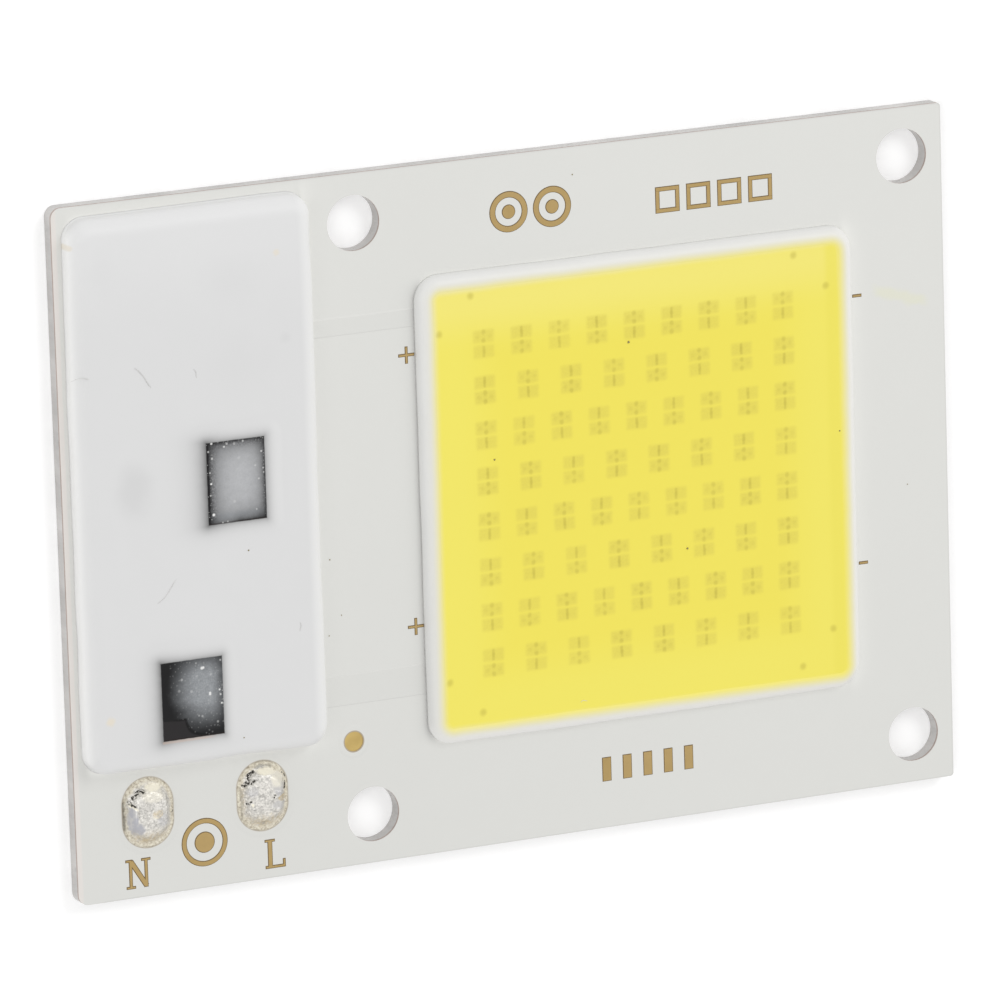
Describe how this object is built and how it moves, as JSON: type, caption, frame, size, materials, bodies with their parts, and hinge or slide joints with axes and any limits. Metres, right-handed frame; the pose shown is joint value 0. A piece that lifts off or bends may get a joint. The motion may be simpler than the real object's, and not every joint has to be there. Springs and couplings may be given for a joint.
{
  "type": "mains chip-on-board LED module",
  "caption": "Rectangular white aluminium-core board with a square yellow phosphor LED field, a white potted driver slab, two solder wire pads and screw holes.",
  "frame": {"origin": "centre of the bare aluminium back face", "axes": "+X along the board, from the driver end to the LED end; +Y across it, away from the wire pads; +Z out of the lit face"},
  "size_m": [0.055, 0.04, 0.0025],
  "materials": {
    "core_aluminium": "bare rolled and punched aluminium",
    "laminate": "filled resin laminate, seen only at the cut edges",
    "gold_plated_copper": "satin gold flash over etched copper",
    "white_mask": "satin white reflective solder mask",
    "dam_silicone": "satin white silicone bead",
    "led_crystal": "polished crystal, under the phosphor",
    "gold_wire": "bright bond wire, under the phosphor",
    "yellow_phosphor": "satin yellow silicone with phosphor",
    "black_epoxy": "matt moulded epoxy under a thin milky film",
    "tinned_metal": "dull tin plate",
    "resistor_body": "glazed chip resistor",
    "fuse_ceramic": "matt ceramic chip",
    "solder": "frosted lumpy solder with a rim of yellow flux",
    "potting_silicone": "smooth satin white silicone"
  },
  "bodies": {
    "root": {"base_plate": "core_aluminium", "dielectric_layer": "laminate", "copper_circuit": "gold_plated_copper", "solder_mask": "white_mask", "led_dam": "dam_silicone", "led_dies": "led_crystal", "bond_wires": "gold_wire", "phosphor_fill": "yellow_phosphor", "bridge_rectifier": "black_epoxy", "rectifier_leads": "tinned_metal", "driver_ic": "black_epoxy", "driver_ic_leads": "tinned_metal", "clamp_diode": "black_epoxy", "clamp_diode_tabs": "tinned_metal", "current_resistors": "resistor_body", "resistor_end_caps": "tinned_metal", "input_fuse": "fuse_ceramic", "fuse_end_caps": "tinned_metal", "component_solder": "solder", "driver_potting": "potting_silicone", "solder_joint_n": "solder", "solder_joint_l": "solder"}
  },
  "joints": []
}
